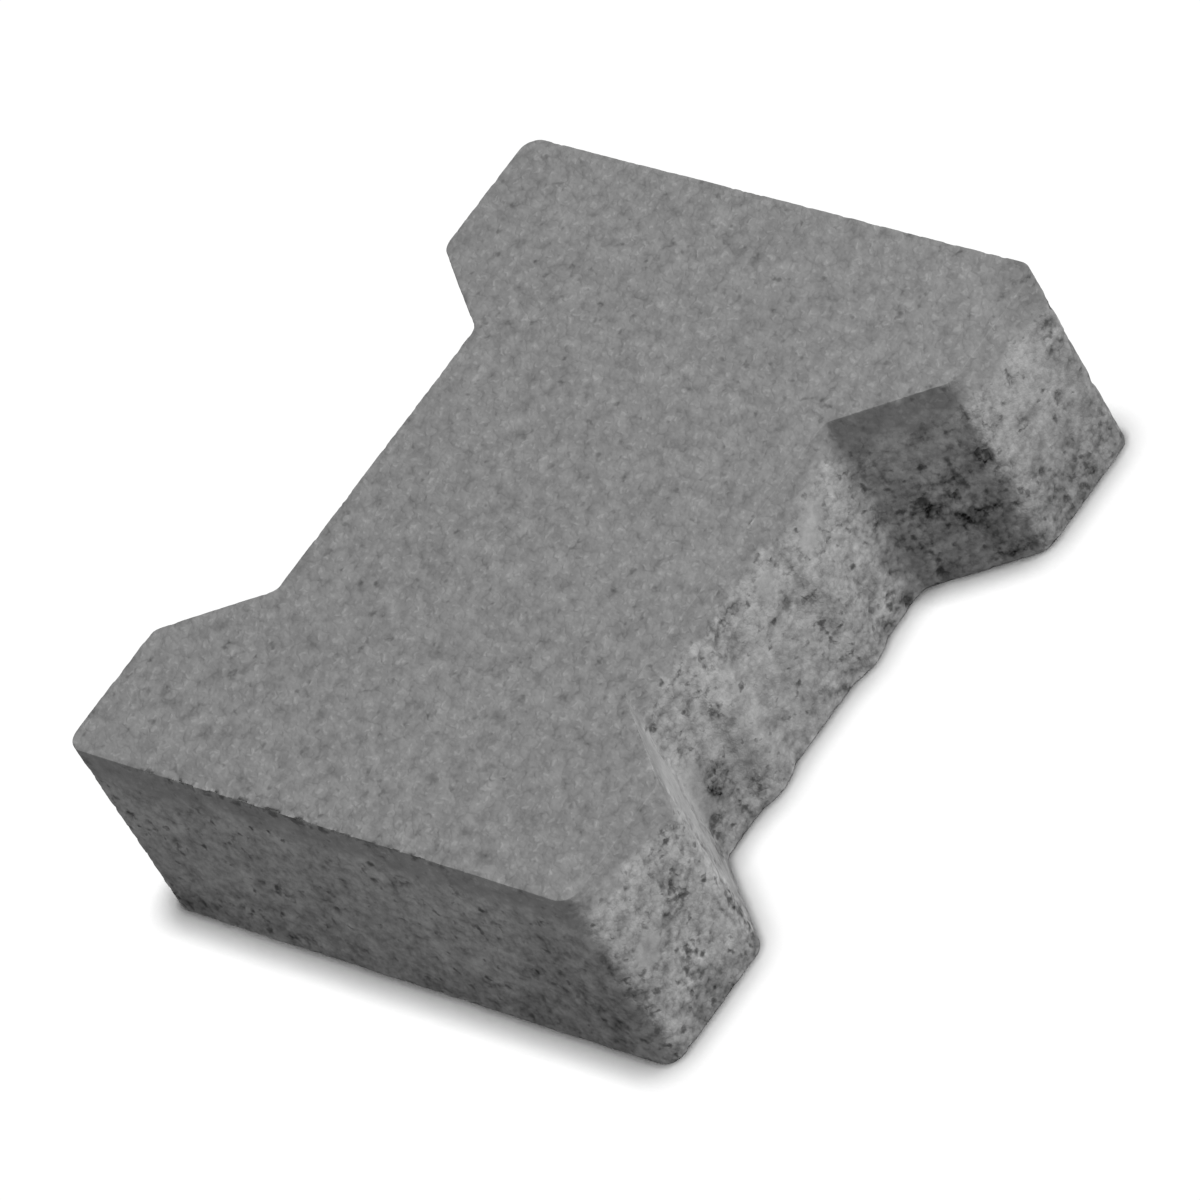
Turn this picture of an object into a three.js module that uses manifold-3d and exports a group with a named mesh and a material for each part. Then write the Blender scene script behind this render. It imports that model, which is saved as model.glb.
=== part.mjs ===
// Interlocking concrete paving stone of the double-T pattern, cast in one piece.
// Millimetres, +Z up. The origin lies on the underside, at the middle of the plan.
// X runs from head to head, and the two waist recesses open towards +Y and -Y.

import * as THREE from 'three';
import { mergeVertices } from 'three/addons/utils/BufferGeometryUtils.js';
import Module from 'manifold-3d';

// Plan of the stone
const stoneLength = 198;
const stoneWidth = 162;
const waistWidth = 111.6;
const headLength = 37; // straight side of a head, along X
const taperLength = 19.8; // run of a slanted side, along X
const outerCornerRadius = 5;
const innerCornerRadius = 3;

// Section of the stone
const stoneHeight = 61;
const arris = 0.4; // softened edge of the two flat faces

// Spacer nibs, cast on the waist sides so that laid stones keep an even joint
const nibSpacing = 39.6;
const nibWidth = 14;
const nibProud = 1.7;
const nibHeight = 50;
const nibTopSlant = 18; // height over which the nib's top runs out into the side
const nibRoot = 2; // part of the nib that is sunk in the stone before the join

// Tessellation
const arcSegments = 4;
const arrisSegments = 2;
const nibArcSegments = 10;

const concrete = new THREE.MeshStandardMaterial({
  name: 'grey_concrete',
  color: 0x8a8a89,
  roughness: 0.95,
  metalness: 0,
});

const wasm = await Module();
wasm.setup();

// Turns a closed three.js geometry into a solid for joining and cutting.
function toSolid(geometry) {
  const bare = geometry.clone();
  bare.deleteAttribute('normal');
  bare.deleteAttribute('uv');
  const merged = mergeVertices(bare, 1e-4);
  const mesh = new wasm.Mesh({
    numProp: 3,
    vertProperties: new Float32Array(merged.attributes.position.array),
    triVerts: new Uint32Array(merged.index.array),
  });
  return new wasm.Manifold(mesh);
}

// Turns a solid back into a flat-shaded three.js geometry.
function toGeometry(solid) {
  const mesh = solid.getMesh();
  const geometry = new THREE.BufferGeometry();
  geometry.setAttribute('position', new THREE.BufferAttribute(mesh.vertProperties, 3));
  geometry.setIndex(new THREE.BufferAttribute(mesh.triVerts, 1));
  const flat = geometry.toNonIndexed();
  flat.computeVertexNormals();
  return flat;
}

// One quarter of the plan, from the middle of the head to the middle of the waist.
function quarterCorners() {
  const headX = stoneLength / 2;
  const shoulderX = headX - headLength;
  const waistX = shoulderX - taperLength;
  return [
    { x: headX, y: stoneWidth / 2, radius: outerCornerRadius },
    { x: shoulderX, y: stoneWidth / 2, radius: outerCornerRadius },
    { x: waistX, y: waistWidth / 2, radius: innerCornerRadius },
  ];
}

// The quarter mirrored round the plan, anticlockwise.
function planCorners() {
  const quarter = quarterCorners();
  const mirror = (corner, signX, signY) => ({
    x: corner.x * signX,
    y: corner.y * signY,
    radius: corner.radius,
  });
  const reversed = [...quarter].reverse();
  return [
    ...quarter,
    ...reversed.map((corner) => mirror(corner, -1, 1)),
    ...quarter.map((corner) => mirror(corner, -1, -1)),
    ...reversed.map((corner) => mirror(corner, 1, -1)),
  ];
}

// A closed outline through the corners, each rounded by an arc of its own radius.
function roundedOutline(corners) {
  const shape = new THREE.Shape();
  corners.forEach((corner, index) => {
    const here = new THREE.Vector2(corner.x, corner.y);
    const before = corners.at(index - 1);
    const after = corners[(index + 1) % corners.length];
    const back = new THREE.Vector2(before.x, before.y).sub(here).normalize();
    const ahead = new THREE.Vector2(after.x, after.y).sub(here).normalize();
    const halfAngle = Math.acos(back.dot(ahead)) / 2;
    const tangent = corner.radius / Math.tan(halfAngle);
    const start = here.clone().addScaledVector(back, tangent);
    const end = here.clone().addScaledVector(ahead, tangent);
    const bisector = back.clone().add(ahead).normalize();
    const centre = here.clone().addScaledVector(bisector, corner.radius / Math.sin(halfAngle));
    const startAngle = start.clone().sub(centre).angle();
    const endAngle = end.clone().sub(centre).angle();
    const clockwise = back.cross(ahead) > 0;
    shape.absarc(centre.x, centre.y, corner.radius, startAngle, endAngle, clockwise);
  });
  shape.closePath();
  return shape;
}

// The body: the rounded plan drawn up to its height, with softened top and bottom edges.
function stoneBody() {
  const geometry = new THREE.ExtrudeGeometry(roundedOutline(planCorners()), {
    depth: stoneHeight - 2 * arris,
    curveSegments: arcSegments,
    bevelEnabled: true,
    bevelThickness: arris,
    bevelSize: arris,
    bevelOffset: -arris,
    bevelSegments: arrisSegments,
  });
  geometry.translate(0, 0, arris);
  return toSolid(geometry);
}

// A nib on the -Y side of the plane Y = 0: a rounded rib whose top is cut back to the side.
function spacerNib() {
  const halfWidth = nibWidth / 2;
  const radius = (halfWidth ** 2 + nibProud ** 2) / (2 * nibProud);
  const centreY = radius - nibProud;
  const halfSweep = Math.asin(halfWidth / radius);
  const outward = -Math.PI / 2;
  const plan = new THREE.Shape();
  plan.moveTo(-halfWidth, nibRoot);
  plan.lineTo(-halfWidth, 0);
  plan.absarc(0, centreY, radius, outward - halfSweep, outward + halfSweep, false);
  plan.lineTo(halfWidth, nibRoot);
  plan.closePath();
  const rib = new THREE.ExtrudeGeometry(plan, {
    depth: nibHeight,
    curveSegments: nibArcSegments,
    bevelEnabled: false,
  });

  // Side profile of the nib in the (Y, Z) plane, drawn out along X past both flanks.
  const profile = new THREE.Shape([
    new THREE.Vector2(-nibProud, 0),
    new THREE.Vector2(nibRoot, 0),
    new THREE.Vector2(nibRoot, nibHeight),
    new THREE.Vector2(0, nibHeight),
    new THREE.Vector2(-nibProud, nibHeight - nibTopSlant),
  ]);
  const run = nibWidth * 2;
  const side = new THREE.ExtrudeGeometry(profile, { depth: run, bevelEnabled: false });
  side.applyMatrix4(new THREE.Matrix4().set(
    0, 0, 1, -run / 2,
    1, 0, 0, 0,
    0, 1, 0, 0,
    0, 0, 0, 1,
  ));
  return toSolid(rib).intersect(toSolid(side));
}

function pavingStone() {
  let solid = stoneBody();
  const nib = spacerNib();
  for (const side of [0, 180]) {
    for (const x of [-nibSpacing / 2, nibSpacing / 2]) {
      const placed = nib.translate([x, -waistWidth / 2, 0]).rotate([0, 0, side]);
      solid = solid.add(placed);
    }
  }
  const mesh = new THREE.Mesh(toGeometry(solid), concrete);
  mesh.name = 'paving_stone';
  return mesh;
}

const part = new THREE.Group();
part.name = 'concrete_paving_stone';
part.add(pavingStone());

export default part;
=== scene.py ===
# A double-T paving stone of pressed concrete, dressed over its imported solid.
import math

import bpy
import numpy as np
from mathutils import Matrix, Vector, noise
from mathutils.geometry import delaunay_2d_cdt


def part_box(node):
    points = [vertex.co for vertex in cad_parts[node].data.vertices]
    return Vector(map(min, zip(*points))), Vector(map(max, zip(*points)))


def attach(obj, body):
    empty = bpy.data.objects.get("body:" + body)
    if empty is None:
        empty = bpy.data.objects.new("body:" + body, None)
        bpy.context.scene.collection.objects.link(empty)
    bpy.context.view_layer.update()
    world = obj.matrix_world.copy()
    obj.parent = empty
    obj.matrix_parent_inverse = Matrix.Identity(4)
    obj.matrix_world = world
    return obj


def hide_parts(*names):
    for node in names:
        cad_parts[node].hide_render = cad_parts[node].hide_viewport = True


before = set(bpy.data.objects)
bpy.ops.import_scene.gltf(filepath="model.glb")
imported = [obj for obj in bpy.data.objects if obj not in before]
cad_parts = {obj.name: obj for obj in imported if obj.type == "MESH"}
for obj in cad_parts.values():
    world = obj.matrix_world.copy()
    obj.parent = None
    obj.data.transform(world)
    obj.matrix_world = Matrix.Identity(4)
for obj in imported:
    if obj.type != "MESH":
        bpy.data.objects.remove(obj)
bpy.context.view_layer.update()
print("frame ready")

# Plan, section and mesh of the stone, in metres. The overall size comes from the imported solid.
stone = {
    "seed": 11,  # of the mesh and of its relief
    "headLength": 0.037,  # straight side of a head
    "taperRun": 0.0198,  # run of a slanted side along X
    "waistWidth": 0.1116,
    "outerCornerRadius": 0.005,
    "innerCornerRadius": 0.003,
    "arris": 0.00025,  # softened edge of the flat faces
    "nibSpacing": 0.0396,
    "nibWidth": 0.014,
    "nibProud": 0.0017,
    "nibHeight": 0.050,
    "nibTopSlant": 0.018,  # the height over which the top of a nib runs out into the side
    "nibBlend": 0.06,  # how softly a nib meets the side, as a share of its stand-out
    "arcPoints": 12,  # on each rounded corner
    "arrisRows": 4,
    "footRow": 1.5,  # an extra row, in arrises, keeps the shading of the side flat down to the foot
    "wallStep": 0.00082,  # mesh size on the sides
    "topStep": 0.0013,
    "undersideStep": 0.0022,
    "gridWander": 0.3,  # how far a point of a flat face strays from its grid, in mesh sizes
    "rimClear": 0.7,  # the least distance of such a point from the rim, in mesh sizes
}


def planCorners(headX, headY):
    shoulderX = headX - stone["headLength"]
    waistX = shoulderX - stone["taperRun"]
    quarter = [
        (headX, headY, stone["outerCornerRadius"]),
        (shoulderX, headY, stone["outerCornerRadius"]),
        (waistX, stone["waistWidth"] / 2, stone["innerCornerRadius"]),
    ]
    corners = []
    for signX, signY in ((1, 1), (-1, 1), (-1, -1), (1, -1)):
        ordered = quarter if signX * signY > 0 else quarter[::-1]
        corners += [(x * signX, y * signY, radius) for x, y, radius in ordered]
    return corners


def cornerArc(before, corner, after):
    here = np.array(corner[:2])
    back = np.array(before[:2]) - here
    ahead = np.array(after[:2]) - here
    back /= np.linalg.norm(back)
    ahead /= np.linalg.norm(ahead)
    halfAngle = math.acos(back @ ahead) / 2
    bisector = (back + ahead) / np.linalg.norm(back + ahead)
    centre = here + bisector * corner[2] / math.sin(halfAngle)
    start = here + back * corner[2] / math.tan(halfAngle) - centre
    end = here + ahead * corner[2] / math.tan(halfAngle) - centre
    sweep = math.atan2(start[0] * end[1] - start[1] * end[0], start @ end)
    angles = math.atan2(start[1], start[0]) + np.linspace(0, sweep, stone["arcPoints"])
    return centre + corner[2] * np.stack([np.cos(angles), np.sin(angles)], axis=1)


def planRing(corners, step):
    # Evenly spaced points round the plan, anticlockwise, with their outward directions.
    following = corners[1:] + corners[:1]
    arcs = [cornerArc(corners[i - 1], corners[i], following[i]) for i in range(len(corners))]
    path = np.vstack(arcs + [arcs[0][:1]])
    along = np.concatenate([[0], np.cumsum(np.linalg.norm(np.diff(path, axis=0), axis=1))])
    count = round(along[-1] / step)
    places = np.arange(count) * along[-1] / count
    ring = np.stack([np.interp(places, along, path[:, axis]) for axis in (0, 1)], axis=1)
    tangent = np.roll(ring, -1, axis=0) - np.roll(ring, 1, axis=0)
    outward = np.stack([tangent[:, 1], -tangent[:, 0]], axis=1)
    return ring, outward / np.linalg.norm(outward, axis=1, keepdims=True)


def nibOffset(x, y, z):
    # How far a rounded spacer nib stands out of the waist side at a point of it.
    fromMiddle = np.abs(np.abs(x) - stone["nibSpacing"] / 2)
    crown = 1 - (fromMiddle / (stone["nibWidth"] / 2)) ** 2
    top = (stone["nibHeight"] - z) / stone["nibTopSlant"]
    rounding = 1e-5
    onWaist = np.abs(y) < stone["waistWidth"] / 2 + rounding
    blend = stone["nibBlend"]
    return stone["nibProud"] * onWaist * blend * np.logaddexp(0, np.minimum(crown, top) / blend)


def wallRows(height):
    # Heights of the rows of points on the sides, and how far each row is set in by the arris.
    arris = stone["arris"]
    turn = np.radians(np.linspace(0, 90, stone["arrisRows"]))
    edge = arris * (1 - np.cos(turn))
    inset = arris * (1 - np.sin(turn))
    middleCount = round((height - 2 * arris) / stone["wallStep"])
    middle = np.linspace(arris, height - arris, middleCount + 1)
    middle = np.insert(middle, 1, arris * stone["footRow"])
    heights = np.concatenate([edge[:-1], middle, height - edge[-2::-1]])
    insets = np.concatenate([inset[:-1], np.zeros(len(middle)), inset[-2::-1]])
    return heights, insets


def wallGrid(ring, outward, height):
    # Points and faces of the sides, row by row from the foot to the upper rim.
    heights, insets = wallRows(height)
    count = len(ring)
    x = np.tile(ring[:, 0], len(heights))
    y = np.tile(ring[:, 1], len(heights))
    z = np.repeat(heights, count)
    offset = nibOffset(x, y, z) - np.repeat(insets, count)
    wall = np.stack([x, y, z], axis=1)
    wall[:, :2] += offset[:, None] * np.tile(outward, (len(heights), 1))
    lower = np.arange(len(wall) - count).reshape(-1, count)
    ahead = np.roll(lower, -1, axis=1)
    quads = np.stack([lower, ahead, ahead + count, lower + count], axis=2)
    return wall, quads.reshape(-1, 4).tolist()


def insideRing(points, ring):
    # Even-odd test of many points at once.
    inside = np.zeros(len(points), bool)
    for (x1, y1), (x2, y2) in zip(ring, np.roll(ring, -1, axis=0)):
        if y1 == y2:
            continue
        crosses = (points[:, 1] < y1) != (points[:, 1] < y2)
        inside ^= crosses & (points[:, 0] < x1 + (points[:, 1] - y1) * (x2 - x1) / (y2 - y1))
    return inside


def distanceToRing(points, ring, chunk=2000):
    nearest = [
        np.sqrt(((points[i:i + chunk, None] - ring[None]) ** 2).sum(axis=2).min(axis=1))
        for i in range(0, len(points), chunk)
    ]
    return np.concatenate(nearest)


def capPoints(ring, step, random):
    # Points spread over a flat face, with their distances from its rim.
    lowest, highest = ring.min(axis=0), ring.max(axis=0)
    xs = np.arange(lowest[0], highest[0], step)
    ys = np.arange(lowest[1], highest[1], step)
    grid = np.stack(np.meshgrid(xs, ys), axis=-1).reshape(-1, 2)
    wander = stone["gridWander"]
    grid += random.uniform(-wander, wander, grid.shape) * step
    grid = grid[insideRing(grid, ring)]
    toEdge = distanceToRing(grid, ring)
    clear = toEdge > stone["rimClear"] * step
    return grid[clear], toEdge[clear]


def capFaces(ring, inner):
    # Triangles over the ring and the points inside it, as indices into ring + inner.
    flat = [Vector(p) for p in np.vstack([ring, inner])]
    keepInside, tolerance = 1, 1e-9
    outline = list(range(len(ring)))
    _, _, faces, originals, _, _ = delaunay_2d_cdt(flat, [], [outline], keepInside, tolerance)
    return [[originals[i][0] for i in face] for face in faces]


def stoneMesh(highest):
    # Points and faces of the plain stone, with each point's distance from the rim of a flat face.
    random = np.random.default_rng(stone["seed"])
    ring, outward = planRing(planCorners(highest[0], highest[1]), stone["wallStep"])
    wall, faces = wallGrid(ring, outward, highest[2])
    count = len(ring)
    bottomRing, topRing = wall[:count, :2], wall[-count:, :2]
    topInner, topEdge = capPoints(topRing, stone["topStep"], random)
    bottomInner, bottomEdge = capPoints(bottomRing, stone["undersideStep"], random)
    points = np.vstack([
        wall,
        np.column_stack([topInner, np.full(len(topInner), highest[2])]),
        np.column_stack([bottomInner, np.zeros(len(bottomInner))]),
    ])
    wallEdge = np.minimum(wall[:, 2], highest[2] - wall[:, 2])
    toEdge = np.concatenate([wallEdge, topEdge, bottomEdge])

    firstBottom = len(wall) + len(topInner)
    topIndex = np.arange(len(wall) - count, firstBottom)
    faces += [[int(topIndex[i]) for i in face] for face in capFaces(topRing, topInner)]
    bottomIndex = np.concatenate([np.arange(count), firstBottom + np.arange(len(bottomInner))])
    faces += [[int(bottomIndex[i]) for i in face[::-1]] for face in capFaces(bottomRing, bottomInner)]
    return points, faces, toEdge


# Marks on the stone. A place is x, y, z with a radius and its height over its width, in millimetres.
# A mark is full within the first share of that radius, and gone past the second.
marks = {
    "loose": {  # the mix did not close up against the mould
        "fade": (0.4, 1.5),
        "places": [
            (-99, -51, 25, 3.0, 1.0), (-99, -31, 13, 3.4, 0.8), (-99, 37, 4, 3.2, 1.0),
            (-99, 73, 37, 3.0, 0.8), (-99, 42, 52, 2.4, 1.0), (-99, -20, 58, 2.2, 1.0),
            (-60, -79, 10, 5.0, 2.2), (-74, -81, 34, 4.2, 1.0), (-78, -81, 19, 4.0, 0.9),
            (-84, -81, 12, 4.5, 0.8), (-33, -56, 19, 4.5, 1.0), (-25, -57, 33, 2.6, 2.6),
            (-25, -57, 7, 2.2, 2.4), (-9, -56, 50, 5.0, 0.8), (32, -56, 7, 3.6, 0.6),
            (40, -56, 27, 3.0, 0.8), (46, -61, 14, 2.6, 3.2), (48, -63, 24, 4.2, 1.0),
            (52, -69, 30, 4.5, 1.0), (52, -69, 26, 7.0, 1.6), (57, -74, 4, 4.6, 0.5),
            (58, -75, 20, 3.4, 1.2), (60, -79, 36, 3.2, 1.6), (74, -81, 34, 2.2, 1.6),
            (85, -81, 29, 3.2, 1.4), (93, -81, 42, 4.0, 1.4),
        ],
    },
    "smooth": {  # a pale skin of cement closed the surface
        "fade": (0.6, 1.2),
        "places": [
            (-87, -81, 31, 4, 1.4), (-53, -66, 13, 7, 1.4), (-51, -66, 44, 10, 2.0),
            (-40, -56, 22, 5, 2.2), (5, -56, 44, 6, 0.8), (24, -56, 44, 7, 1.0),
        ],
    },
    "soiled": {  # darker with damp and soil
        "fade": (0.3, 1.4),
        "places": [
            (-99, -67, 26, 19, 1.2), (-99, -45, 8, 9, 1.0), (-99, 70, 5, 9, 0.6), (-80, -81, 2, 16, 0.5),
            (-34, -56, 14, 9, 1.6), (53, -70, 20, 14, 1.2), (82, -81, 6, 25, 1.0), (100, -81, 24, 13, 6.0),
        ],
    },
    "calm": {  # the mix filled the mould well
        "fade": (0.6, 1.2),
        "places": [(-51, -67, 38, 9, 2.6), (-12, -56, 22, 22, 1.0), (84, -81, 34, 20, 1.2)],
    },
    "crumbled": {  # the upper rim has lost grains
        "fade": (0.6, 1.1),
        "places": [(-99, 8, 60, 66, 0.03)],
    },
}

# Relief of the cast surface, worked into the mesh. Lengths in metres.
relief = {
    "sideTilt": 0.6,  # a normal with less Z than this belongs to a side
    "endTilt": 0.9,  # and with more X than this to an end
    "endCalm": 0.6,  # how well the mix filled the mould all over the ends
    "faceMixDepth": 0.0085,  # the fine mix reaches about this far below the wearing face
    "faceMixFade": 0.0035,
    "faceMixWander": 0.0021,
    "faceMixWanderSize": 0.009,
    "skinWander": 0.004,  # raggedness of the smooth places
    "skinWanderSize": 0.009,
    "waviness": 0.00015,
    "waveLength": 0.030,
    "sandSize": 0.0018,
    "sandHeight": 0.00006,
    "lumpSize": 0.0055,
    "lumpHeight": 0.00022,
    "lumpPatchSize": 0.016,  # lumps stand in patches
    "lumpPatchSpread": 0.35,
    "lumpLeast": 0.3,  # height left to the lumps outside the patches
    "calmLumpLoss": 0.45,
    "grainSize": 0.0030,
    "grainWander": 0.0011,
    "grainWanderSize": 0.00195,
    "creviceRange": (0.40, 0.95),  # from the middle of a grain outwards, in grain sizes
    "creviceDepth": 0.00036,  # between grains that touch
    "gapRange": (0.86, 1.10),
    "gapDepth": 0.0009,  # where they do not meet
    "clusterSize": 0.009,
    "clusterSpread": 0.22,  # how much wider the gaps are where they cluster
    "looseWiden": 0.14,
    "closedNarrow": 0.10,  # how much narrower they are where it is smooth or calm
    "smoothFill": 0.7,  # how far the skin fills the crevices
    "smoothCover": 0.8,  # and how far it covers the coarse core
    "flatFaceShare": 0.25,  # of the grain relief that the flat faces have
    "chipSize": 0.0026,
    "chipDepth": 0.00042,
    "chipReach": 0.0008,  # how far from the edge a chip still bites
    "chipRange": (0.1, 0.6),
    "chipLeast": 0.5,  # share of the depth where the rim is sound
    "crumbledChips": 0.3,  # how many more chips there are where it has crumbled
    "crumbledDepth": 1.3,
}


def smoothStep(value, low, high):
    t = np.clip((value - low) / (high - low), 0, 1)
    return t * t * (3 - 2 * t)


def fractalField(points, size, seed, octaves=2):
    shift = Vector((seed * 1.7, seed * 2.9, seed * 5.3))
    values = [noise.fractal(Vector(p) / size + shift, 1.0, 2.0, octaves) for p in points]
    return np.array(values)


def vectorField(points, size, seed):
    noise.seed_set(seed)  # noise_vector is shifted by a random state
    shift = Vector((seed * 4.1, seed * 2.3, seed * 1.9))
    return np.array([noise.noise_vector(Vector(p) / size + shift) for p in points])


def cellField(points, size, seed):
    # Distance to the nearest cell centre in cell sizes: 0 in the middle of a grain, 0.9 far from all.
    shift = Vector((seed * 3.1, seed * 1.3, seed * 4.7))
    return np.array([noise.voronoi(Vector(p) / size + shift)[0][0] for p in points])


def markMask(points, kind):
    inner, outer = marks[kind]["fade"]
    mask = np.zeros(len(points))
    for x, y, z, radius, tall in marks[kind]["places"]:
        apart = (points * 1000 - (x, y, z)) / (radius, radius, radius * tall)
        mask = np.maximum(mask, 1 - smoothStep(np.linalg.norm(apart, axis=1), inner, outer))
    return mask


# The masks that the material reads from the mesh
maskNames = ("between", "openness", "smooth", "soiled", "loose", "side", "crumbledSide", "calm")


def surfaceMasks(points, normals, height):
    # What the surface is like at each point, mostly from 0 to 1. Between is 0 in the middle of a grain.
    seed = stone["seed"]
    side = np.abs(normals[:, 2]) < relief["sideTilt"]
    ends = np.abs(normals[:, 0]) > relief["endTilt"]
    strayed = points + relief["skinWander"] * vectorField(points, relief["skinWanderSize"], seed + 8)
    smooth = side * markMask(strayed, "smooth")
    calm = side * np.maximum(markMask(points, "calm"), relief["endCalm"] * ends)
    loose = markMask(points, "loose")
    crumbled = markMask(points, "crumbled")

    below = height - points[:, 2]
    below += relief["faceMixWander"] * fractalField(points, relief["faceMixWanderSize"], seed + 5)
    depth, fade = relief["faceMixDepth"], relief["faceMixFade"]
    core = smoothStep(below, depth - fade, depth + fade) * (1 - relief["smoothCover"] * smooth)

    bent = points + relief["grainWander"] * vectorField(points, relief["grainWanderSize"], seed)
    openness = relief["clusterSpread"] * fractalField(points, relief["clusterSize"], seed + 7)
    openness += relief["looseWiden"] * loose - relief["closedNarrow"] * (smooth + calm)
    return {
        "core": core, "side": side, "smooth": smooth, "calm": calm, "loose": loose,
        "soiled": markMask(points, "soiled"), "crumbled": crumbled, "crumbledSide": side * crumbled,
        "between": cellField(bent, relief["grainSize"], seed + 4), "openness": openness,
    }


def castRelief(points, masks, toEdge):
    # Offset along the normal in metres, below zero where the surface is hollow.
    seed = stone["seed"]
    core, smooth, calm, crumbled = (masks[name] for name in ("core", "smooth", "calm", "crumbled"))
    inwards = 0.5  # the waves lie mostly inside the solid
    offset = relief["waviness"] * (fractalField(points, relief["waveLength"], seed) - inwards)
    offset += relief["sandHeight"] * fractalField(points, relief["sandSize"], seed + 1)

    spread, least = relief["lumpPatchSpread"], relief["lumpLeast"]
    patches = smoothStep(fractalField(points, relief["lumpPatchSize"], seed + 3), -spread, spread)
    lumps = relief["lumpHeight"] * fractalField(points, relief["lumpSize"], seed + 2, octaves=3)
    offset += lumps * core * (least + (1 - least) * patches) * (1 - relief["calmLumpLoss"] * calm)

    # Grains cast flat against the mould, with crevices and gaps between them
    crevice = smoothStep(masks["between"], *relief["creviceRange"]) * (1 - relief["smoothFill"] * smooth)
    gap = smoothStep(masks["between"] + masks["openness"], *relief["gapRange"])
    grainy = np.where(masks["side"], core, relief["flatFaceShare"] * core)
    offset -= grainy * (relief["creviceDepth"] * crevice + relief["gapDepth"] * gap)

    edge = np.exp(-toEdge / relief["chipReach"])
    chips = fractalField(points, relief["chipSize"], seed + 6, octaves=3)
    chips = smoothStep(chips + relief["crumbledChips"] * crumbled, *relief["chipRange"]) * edge
    offset -= relief["chipDepth"] * chips * (relief["chipLeast"] + relief["crumbledDepth"] * crumbled)
    return offset


def pavingStone():
    lowest, highest = (np.array(corner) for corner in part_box("paving_stone"))
    points, faces, toEdge = stoneMesh(highest)
    mesh = bpy.data.meshes.new("paving_stone_visual")
    mesh.from_pydata(points.tolist(), [], faces)
    normals = np.empty(len(points) * 3)
    mesh.vertex_normals.foreach_get("vector", normals)
    normals = normals.reshape(-1, 3)
    masks = surfaceMasks(points, normals, highest[2])
    shaped = points + castRelief(points, masks, toEdge)[:, None] * normals
    shaped = np.clip(shaped, lowest, highest)
    mesh.vertices.foreach_set("co", shaped.ravel())
    for name in maskNames:
        attribute = mesh.attributes.new(name, "FLOAT", "POINT")
        attribute.data.foreach_set("value", masks[name].astype(float))
    mesh.shade_smooth()
    mesh.update()
    item = bpy.data.objects.new("paving_stone_visual", mesh)
    bpy.context.scene.collection.objects.link(item)
    print("stone mesh:", len(points), "points,", sum(len(face) - 2 for face in faces), "triangles")
    return item


def addNode(tree, kind, inputs=None, **settings):
    # A new node with its settings, and each named input set to a value or linked to a socket.
    node = tree.nodes.new(kind)
    for name, value in settings.items():
        setattr(node, name, value)
    for name, value in (inputs or {}).items():
        if isinstance(value, bpy.types.NodeSocket):
            tree.links.new(value, node.inputs[name])
        else:
            node.inputs[name].default_value = value
    return node


def addMath(tree, operation, a, b):
    return addNode(tree, "ShaderNodeMath", {0: a, 1: b}, operation=operation).outputs[0]


def addSum(tree, first, *others):
    for other in others:
        first = addMath(tree, "ADD", first, other)
    return first


def addProduct(tree, first, *others):
    for other in others:
        first = addMath(tree, "MULTIPLY", first, other)
    return first


def addVector(tree, operation, inputs, output="Vector"):
    return addNode(tree, "ShaderNodeVectorMath", inputs, operation=operation).outputs[output]


def addRange(tree, value, low, high, toLow=0.0, toHigh=1.0, smooth=True):
    kind = "SMOOTHSTEP" if smooth else "LINEAR"
    inputs = {"Value": value, "From Min": low, "From Max": high, "To Min": toLow, "To Max": toHigh}
    return addNode(tree, "ShaderNodeMapRange", inputs, interpolation_type=kind).outputs["Result"]


def addFade(tree, mask, outside, inside, smooth=True):
    # One value where the mask is 0, and the other where it is 1.
    return addRange(tree, mask, 0.0, 1.0, outside, inside, smooth)


def addNoise(tree, place, scale, detail=1.0, fineness=0.5, output="Fac"):
    inputs = {"Vector": place, "Scale": scale, "Detail": detail, "Roughness": fineness}
    return addNode(tree, "ShaderNodeTexNoise", inputs).outputs[output]


def addCells(tree, place, size):
    inputs = {"Vector": place, "Scale": addMath(tree, "DIVIDE", 1.0, size)}
    return addNode(tree, "ShaderNodeTexVoronoi", inputs, feature="F1").outputs["Distance"]


def addColorMix(tree, factor, a, b):
    return addNode(tree, "ShaderNodeMix", {0: factor, 6: a, 7: b}, data_type="RGBA").outputs[2]


def emptyMaterial(name):
    material = bpy.data.materials.new(name)
    material.use_nodes = True
    material.node_tree.nodes.clear()
    return material, material.node_tree


def newGroup(name, inputs, outputs):
    tree = bpy.data.node_groups.new(name, "ShaderNodeTree")
    for label, kind, value in inputs:
        socket = tree.interface.new_socket(label, in_out="INPUT", socket_type=kind)
        if value is not None:
            socket.default_value = value
    for label in outputs:
        tree.interface.new_socket(label, in_out="OUTPUT", socket_type="NodeSocketFloat")
    return tree, tree.nodes.new("NodeGroupInput").outputs, tree.nodes.new("NodeGroupOutput").inputs


# How grains of any size pack, in shares of a grain.
packing = {
    "wanderScale": 1.5,
    "wanderReach": 1.3,
    "voidShare": 0.6,  # a hollow is made of the voids between grains and of soft pits
    "pitSpread": 1.6,
    "hollowRange": (0.48, 0.96),
    "paleRange": (0.34, 0.14),  # the middle of a grain is pale
}


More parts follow.
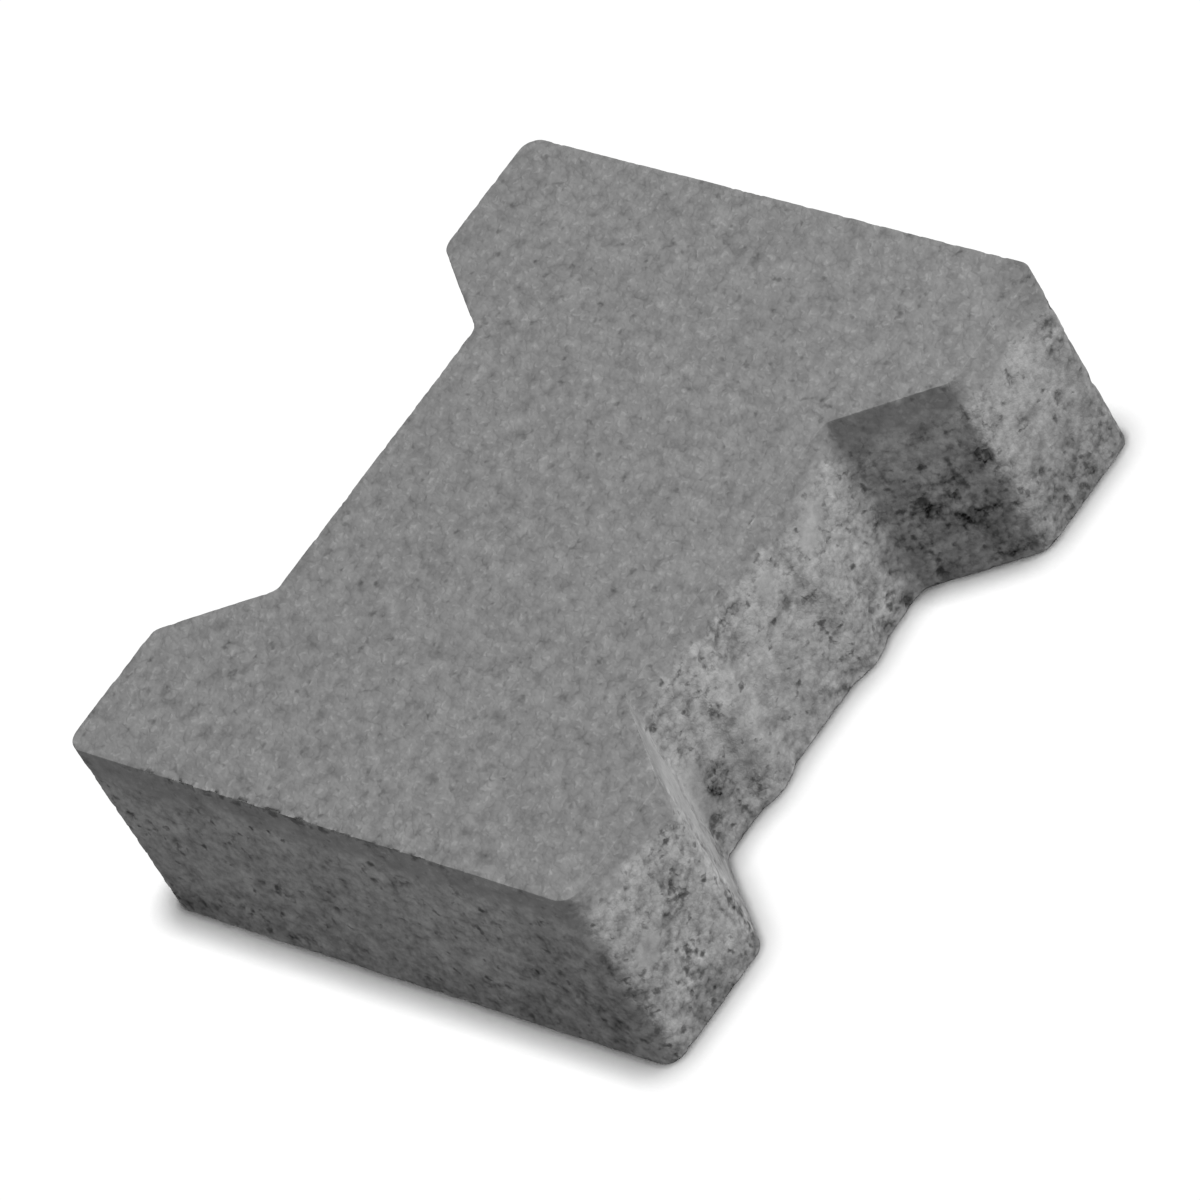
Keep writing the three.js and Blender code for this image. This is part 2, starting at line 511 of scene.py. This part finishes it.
def packedGrainGroup():
    # Grains in cement. Between runs from 0 in the middle of a grain to about 0.9 far from every grain.
    # Hollow is the mask of the voids that grains leave between them, and Hollow Reach widens them.
    tree, given, result = newGroup(
        "packed_grain",
        [
            ("Position", "NodeSocketVector", None),
            ("Cloud Size", "NodeSocketFloat", 5.0),
            ("Fineness", "NodeSocketFloat", 0.7),
            ("Grain Size", "NodeSocketFloat", 3.0),
            ("Hollow Size", "NodeSocketFloat", 2.4),
            ("Hollow Reach", "NodeSocketFloat", 0.0),
        ],
        ["Cloud", "Between", "Pale", "Hollow"],
    )
    place = given["Position"]
    cloudScale = addMath(tree, "DIVIDE", 1.0, given["Cloud Size"])
    cloud = addNoise(tree, place, cloudScale, detail=2.0, fineness=given["Fineness"])
    wanderScale = addMath(tree, "DIVIDE", packing["wanderScale"], given["Grain Size"])
    wander = addNoise(tree, place, wanderScale, output="Color")
    reach = addProduct(tree, given["Grain Size"], packing["wanderReach"])
    wander = addVector(tree, "SCALE", {0: wander, "Scale": reach})
    moved = addVector(tree, "ADD", {0: place, 1: wander})
    between = addCells(tree, moved, given["Grain Size"])
    voids = addProduct(tree, addCells(tree, moved, given["Hollow Size"]), packing["voidShare"])
    pitScale = addMath(tree, "DIVIDE", 1.0, given["Hollow Size"])
    pits = addMath(tree, "SUBTRACT", addNoise(tree, place, pitScale), 0.5)
    pits = addProduct(tree, pits, packing["pitSpread"])
    opened = addSum(tree, voids, addSum(tree, pits, given["Hollow Reach"]))
    tree.links.new(addMath(tree, "SUBTRACT", cloud, 0.5), result["Cloud"])
    tree.links.new(between, result["Between"])
    tree.links.new(addRange(tree, between, *packing["paleRange"]), result["Pale"])
    tree.links.new(addRange(tree, opened, *packing["hollowRange"]), result["Hollow"])
    return tree


# Finish of the concrete. Colours are linear, lengths in millimetres. Tones add to a lightness of 1.
concrete = {
    "roughness": 0.93,
    "specular": 0.25,
    "slant": (-0.385, -0.640, 0.664),  # marks are drawn out along the camera's line of sight
    "slantStretch": 1.45,
    "grainHeight": 0.00024,  # metres
    "face": {  # the fine mix
        "color": (0.205, 0.205, 0.205, 1.0),
        "cloudSize": 4.3,
        "fineness": 0.65,
        "grainSize": 2.7,
        "hollowSize": 2.3,
        "hollowReach": -0.03,
        "contrast": 0.85,
        "paleGrain": 0.22,
        "betweenRange": (0.60, 0.95),
        # painted shade in the crevices between grains and in the hollows
        "betweenShade": 0.22,
        "hollowShade": 0.40,
    },
    "core": {  # the coarse mix
        "color": (0.242, 0.242, 0.242, 1.0),
        "cloudSize": 4.4,
        "fineness": 0.85,
        "grainSize": 1.5,
        "hollowSize": 2.4,
        "hollowReach": 0.03,
        "contrast": 1.45,
        "paleGrain": 0.10,
        "betweenRange": (0.50, 0.90),  # between the grains of the mesh
        # painted shade in the crevices between the grains of the mesh and between finer grains
        "betweenShade": 0.22,
        "fineRange": (0.45, 0.90),  # between the finer grains of the finish
        "fineShade": 0.26,
        "lift": 0.08,
        "bump": 0.6,
    },
    "broadScale": 0.11,  # broad clouds, per millimetre
    "broadFineness": 0.65,
    "borderWander": 14.0,  # how far they move the border of the two mixes
    "openHollows": 0.9,  # how much the openness of the mesh widens the hollows
    "crumbledHollows": 0.3,
    "smoothContrast": 0.48,
    "calmContrast": 0.75,
    # share of the painted shade between fine grains that stays in calm places
    "calmFineShade": 0.8,
    "looseContrast": 0.6,
    "bedShadeTop": 30.0,  # painted shade darkens the sides from here down to the bed
    # how dark the painted shade is at the bed
    "bedShadeStrength": 0.18,
    "looseDark": 0.12,
    "soilDark": 0.24,
    "skinLift": 0.09,  # how much paler a smooth place is
    "faceSideDark": 0.07,  # the fine mix is darker on the sides
    # painted shade in the gaps and voids
    "gapShadeColor": (0.045, 0.045, 0.045, 1.0),
    "gapStrength": 0.6,
    "hollowStrength": 0.9,
    "faceOpenings": 0.06,  # share of the openings that shows in the fine mix
    "crumbledOpenings": 0.8,
}


def drawnOut(tree, place):
    # The place with its part along the slant made shorter, so that marks come out longer that way.
    slant = concrete["slant"]
    along = addVector(tree, "DOT_PRODUCT", {0: place, 1: slant}, output="Value")
    shorter = addProduct(tree, along, 1 / concrete["slantStretch"] - 1)
    shift = addVector(tree, "SCALE", {0: slant, "Scale": shorter})
    return addVector(tree, "ADD", {0: place, 1: shift})


def mixGrain(tree, group, place, mix, reach):
    inputs = {
        "Position": place, "Cloud Size": mix["cloudSize"], "Fineness": mix["fineness"],
        "Grain Size": mix["grainSize"], "Hollow Size": mix["hollowSize"], "Hollow Reach": reach,
    }
    return addNode(tree, "ShaderNodeGroup", inputs, node_tree=group).outputs


def cloudTone(tree, grain, mix):
    cloud = addProduct(tree, grain["Cloud"], mix["contrast"])
    return addSum(tree, cloud, addProduct(tree, grain["Pale"], mix["paleGrain"]))


def faceTone(tree, grain):
    mix = concrete["face"]
    # Painted shade in the crevices between grains and in the hollows
    recessShade = addRange(tree, grain["Between"], *mix["betweenRange"], 0.0, mix["betweenShade"], smooth=False)
    recessShade = addSum(tree, recessShade, addProduct(tree, grain["Hollow"], mix["hollowShade"]))
    return addMath(tree, "SUBTRACT", cloudTone(tree, grain, mix), recessShade)


def coreTone(tree, grain, mask, broad):
    mix = concrete["core"]
    # Painted shade in the crevices between grains, coarse and fine
    recessShade = addRange(tree, mask["between"], *mix["betweenRange"], 0.0, mix["betweenShade"], smooth=False)
    fineShade = addRange(tree, grain["Between"], *mix["fineRange"], 0.0, mix["fineShade"])
    calmed = addFade(tree, mask["calm"], 1.0, concrete["calmFineShade"])
    recessShade = addSum(tree, recessShade, addProduct(tree, fineShade, calmed))
    tone = addMath(tree, "SUBTRACT", cloudTone(tree, grain, mix), recessShade)
    return addSum(tree, tone, addSum(tree, broad, mix["lift"]))


def shadeAndStainTone(tree, mask, core, z):
    # Painted shade darkens the sides towards the bed. The stone is also darker where it is soiled and
    # where the mix is loose, and paler where it is smooth.
    # painted shade, darker from its top down to the bed
    shadeAndStain = addRange(tree, z, 0.0, concrete["bedShadeTop"], concrete["bedShadeStrength"], 0.0, smooth=False)
    shadeAndStain = addSum(
        tree, shadeAndStain,
        addProduct(tree, mask["loose"], concrete["looseDark"]),
        addProduct(tree, mask["soiled"], concrete["soilDark"]),
        addProduct(tree, mask["smooth"], -concrete["skinLift"]),
    )
    faceSide = addProduct(tree, mask["side"], addFade(tree, core, concrete["faceSideDark"], 0.0))
    return addSum(tree, shadeAndStain, faceSide)


def openingMask(tree, mask, core, hollow, plain):
    # Gaps between the grains and small voids, also where the upper rim has crumbled. The mask paints shade
    # into them and also sinks the bump.
    apart = addSum(tree, mask["between"], mask["openness"])
    gaps = addRange(tree, apart, *relief["gapRange"], 0.0, concrete["gapStrength"], smooth=False)
    openings = addMath(tree, "MAXIMUM", gaps, addProduct(tree, hollow, concrete["hollowStrength"]))
    inCore = addFade(tree, core, concrete["faceOpenings"], 1.0)
    crumbled = addProduct(tree, mask["crumbledSide"], concrete["crumbledOpenings"])
    return addProduct(tree, openings, addMath(tree, "MAXIMUM", inCore, crumbled), plain)


def concreteMaterial(height):
    material, tree = emptyMaterial("grey_concrete")
    place = tree.nodes.new("ShaderNodeTexCoord").outputs["Object"]
    place = addVector(tree, "SCALE", {0: place, "Scale": 1000.0})  # millimetres
    z = addNode(tree, "ShaderNodeSeparateXYZ", {0: place}).outputs["Z"]
    place = drawnOut(tree, place)
    mask = {
        name: addNode(tree, "ShaderNodeAttribute", attribute_name=name).outputs["Fac"]
        for name in maskNames
    }

    broad = addNoise(tree, place, concrete["broadScale"], detail=2.0, fineness=concrete["broadFineness"])
    broad = addMath(tree, "SUBTRACT", broad, 0.5)
    below = addMath(tree, "SUBTRACT", height * 1000, z)
    below = addSum(tree, below, addProduct(tree, broad, concrete["borderWander"]))
    depth = relief["faceMixDepth"] * 1000
    fade = relief["faceMixFade"] * 1000
    core = addRange(tree, below, depth - fade, depth + fade)

    group = packedGrainGroup()
    faceGrain = mixGrain(tree, group, place, concrete["face"], concrete["face"]["hollowReach"])
    reach = addProduct(tree, mask["openness"], concrete["openHollows"])
    reach = addSum(tree, reach, addProduct(tree, mask["crumbledSide"], concrete["crumbledHollows"]))
    reach = addSum(tree, reach, concrete["core"]["hollowReach"])
    coreGrain = mixGrain(tree, group, place, concrete["core"], reach)

    # Tone of the mix that shows, weaker on a smooth skin and stronger where it is loose
    tones = faceTone(tree, faceGrain), coreTone(tree, coreGrain, mask, broad)
    tone = addFade(tree, core, *tones, smooth=False)
    plain = addFade(tree, mask["smooth"], 1.0, concrete["smoothContrast"])
    strength = addProduct(tree, mask["loose"], concrete["looseContrast"])
    strength = addSum(tree, strength, addFade(tree, mask["calm"], 1.0, concrete["calmContrast"]))
    tone = addProduct(tree, tone, addProduct(tree, plain, strength))
    # painted shade towards the bed, with the soiled, loose and smooth places
    tone = addMath(tree, "SUBTRACT", tone, shadeAndStainTone(tree, mask, core, z))
    shade = addColorMix(tree, core, concrete["face"]["color"], concrete["core"]["color"])
    shade = addVector(tree, "SCALE", {0: shade, "Scale": addSum(tree, tone, 1.0)})
    openings = openingMask(tree, mask, core, coreGrain["Hollow"], plain)
    # Painted shade in the gaps and voids
    shade = addColorMix(tree, openings, shade, concrete["gapShadeColor"])

    coreSunk = addProduct(tree, coreGrain["Between"], concrete["core"]["bump"])
    sunk = addFade(tree, core, faceGrain["Between"], coreSunk, smooth=False)
    sunk = addProduct(tree, addSum(tree, sunk, openings), plain)
    bump = addNode(tree, "ShaderNodeBump", {
        "Strength": 1.0, "Distance": concrete["grainHeight"], "Height": addProduct(tree, sunk, -1.0),
    })
    shader = addNode(tree, "ShaderNodeBsdfPrincipled", {
        "Base Color": shade, "Roughness": concrete["roughness"], "Normal": bump.outputs["Normal"],
        "Specular IOR Level": concrete["specular"],
    })
    addNode(tree, "ShaderNodeOutputMaterial", {"Surface": shader.outputs[0]})
    return material


# The soft key light and the even light of the room. Angles in degrees, lengths in metres.
light = {
    "azimuth": -49.0,  # from +X towards +Y
    "elevation": 33.0,
    "distance": 2.4,
    "size": 0.67,
    "power": 56.0,
    "ambient": 0.62,
}


def keyLight():
    azimuth, elevation = math.radians(light["azimuth"]), math.radians(light["elevation"])
    direction = Vector((
        math.cos(elevation) * math.cos(azimuth),
        math.cos(elevation) * math.sin(azimuth),
        math.sin(elevation),
    ))
    lamp = bpy.data.lights.new("key", "AREA")
    lamp.shape = "DISK"
    lamp.size = light["size"]
    lamp.energy = light["power"]
    item = bpy.data.objects.new("key", lamp)
    item.location = direction * light["distance"]
    item.rotation_euler = direction.to_track_quat("Z", "Y").to_euler()
    bpy.context.scene.collection.objects.link(item)


def ambientLight():
    world = bpy.data.worlds.new("studio")
    world.use_nodes = True
    background = world.node_tree.nodes["Background"]
    background.inputs["Color"].default_value = (1, 1, 1, 1)
    background.inputs["Strength"].default_value = light["ambient"]
    bpy.context.scene.world = world


# A pale floor that shades only where the stone stands on it. Lengths in metres.
floor = {
    "halfSize": 3.0,
    "paper": (0.40, 0.40, 0.40, 1.0),  # what it sends back to the stone
    "shadeReach": 0.0092,  # how far the contact shade spreads
    "shadeRange": (0.35, 0.98),  # open share of the sky
    "shadeGlow": (0.08, 1.04),
    "shadeSamples": 2,
    "lean": 0.36,  # how much more the lamp's side of the sky counts for the shade
    "touchReach": 0.002,
    "touchRange": (0.45, 1.0),
    "touchGlow": (0.02, 1.0),
    "touchSamples": 1,
}


def floorMaterial():
    # To the camera the floor glows evenly under its contact shade, and to the stone it is grey paper.
    material, tree = emptyMaterial("white_floor")
    azimuth = math.radians(light["azimuth"])
    leanX, leanY = floor["lean"] * math.cos(azimuth), floor["lean"] * math.sin(azimuth)
    lean = addNode(tree, "ShaderNodeCombineXYZ", {"X": leanX, "Y": leanY, "Z": 1.0}).outputs[0]
    near = addNode(
        tree, "ShaderNodeAmbientOcclusion",
        {"Distance": floor["shadeReach"], "Normal": lean}, samples=floor["shadeSamples"],
    )
    touching = addNode(
        tree, "ShaderNodeAmbientOcclusion",
        {"Distance": floor["touchReach"]}, samples=floor["touchSamples"],
    )
    shade = addRange(tree, near.outputs["AO"], *floor["shadeRange"], *floor["shadeGlow"])
    touch = addRange(tree, touching.outputs["AO"], *floor["touchRange"], *floor["touchGlow"], smooth=False)
    glow = addNode(tree, "ShaderNodeEmission", {"Strength": addProduct(tree, shade, touch)})
    paper = addNode(tree, "ShaderNodeBsdfDiffuse", {"Color": floor["paper"]})
    seen = tree.nodes.new("ShaderNodeLightPath").outputs["Is Camera Ray"]
    mixed = addNode(tree, "ShaderNodeMixShader", {0: seen, 1: paper.outputs[0], 2: glow.outputs[0]})
    addNode(tree, "ShaderNodeOutputMaterial", {"Surface": mixed.outputs[0]})
    return material


def stageFloor():
    mesh = bpy.data.meshes.new("floor")
    half = floor["halfSize"]
    corners = [(-half, -half, 0), (half, -half, 0), (half, half, 0), (-half, half, 0)]
    mesh.from_pydata(corners, [], [(0, 1, 2, 3)])
    mesh.materials.append(floorMaterial())
    item = bpy.data.objects.new("floor", mesh)
    bpy.context.scene.collection.objects.link(item)


# Where the camera stands and what it looks at, in metres, with its roll in degrees and its lens in mm.
view = {
    "location": (-0.99145, -1.66127, 1.74241),
    "target": (-0.00263, -0.00205, 0.0305),
    "roll": -31.87,
    "lens": 328.6,
    "sensor": 36.0,
    "farthest": 20.0,
}


def stageCamera():
    data = bpy.data.cameras.new("camera")
    data.sensor_width = view["sensor"]
    data.lens = view["lens"]
    data.clip_end = view["farthest"]
    item = bpy.data.objects.new("camera", data)
    location = Vector(view["location"])
    aim = (Vector(view["target"]) - location).to_track_quat("-Z", "Y").to_matrix().to_4x4()
    roll = Matrix.Rotation(math.radians(view["roll"]), 4, "Z")
    item.matrix_world = Matrix.Translation(location) @ aim @ roll
    bpy.context.scene.collection.objects.link(item)
    bpy.context.scene.camera = item
    bpy.context.scene.view_settings.view_transform = "Standard"


stageFloor()
keyLight()
ambientLight()
stageCamera()
print("stage ready")

pavingStoneVisual = pavingStone()
pavingStoneVisual.data.materials.append(concreteMaterial(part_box("paving_stone")[1][2]))
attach(pavingStoneVisual, "root")
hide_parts("paving_stone")
print("stone ready")
